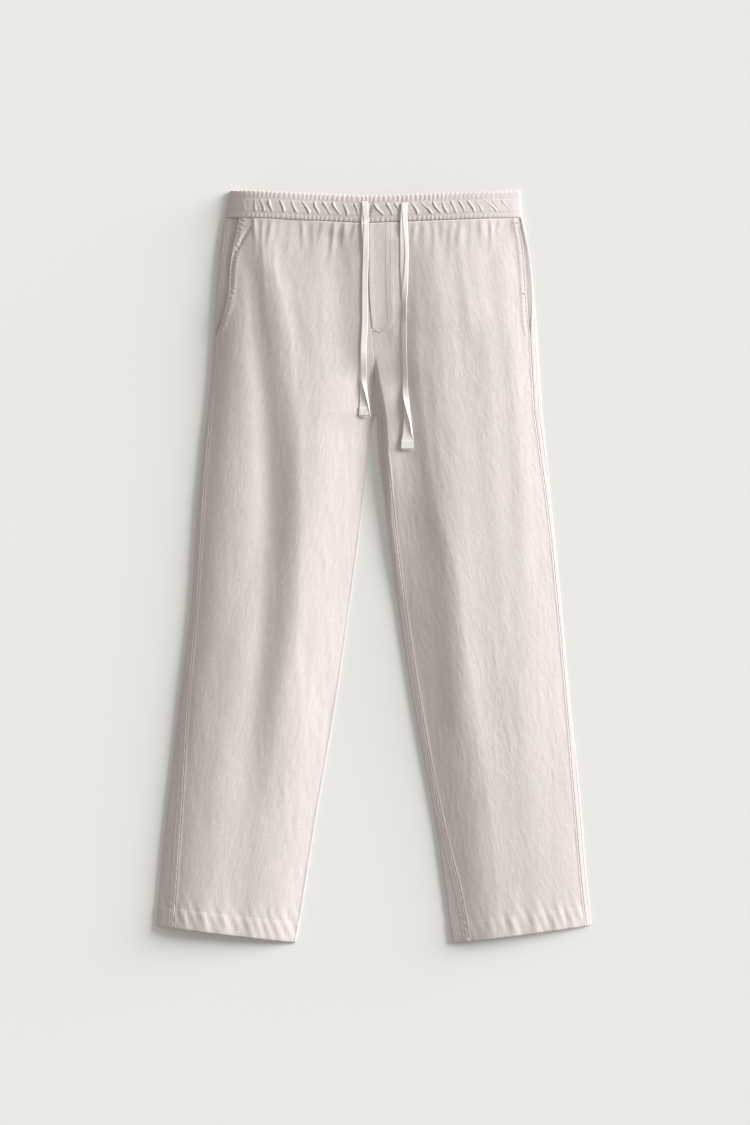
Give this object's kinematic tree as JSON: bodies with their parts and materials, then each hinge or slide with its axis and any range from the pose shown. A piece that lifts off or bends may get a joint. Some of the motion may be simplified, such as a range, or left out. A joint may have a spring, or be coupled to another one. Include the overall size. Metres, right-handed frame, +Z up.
{
  "type": "relaxed fit trousers",
  "caption": "Relaxed straight-leg trousers of linen and cotton, laid flat, with an elasticated drawstring waistband, slant pockets and a fly front.",
  "frame": {"origin": "middle of the garment's outline, on the surface that it lies on", "axes": "+Y up the garment to the waist, +X towards the wearer's left leg, +Z up from the surface, out of the front"},
  "size_m": [0.601, 1.0393, 0.0103],
  "materials": {
    "linen_cotton": "matt plain weave of slubby linen and cotton, pale oatmeal, washed and lightly creased",
    "drawstring_tape": "matt off-white herringbone cotton tape"
  },
  "bodies": {
    "root": {"back_left": "linen_cotton", "back_right": "linen_cotton", "drawstring_left": "drawstring_tape", "drawstring_right": "drawstring_tape", "fly": "linen_cotton", "front_left": "linen_cotton", "front_right": "linen_cotton", "pocket_facing_left": "linen_cotton", "pocket_facing_right": "linen_cotton", "waistband": "linen_cotton"}
  },
  "joints": []
}
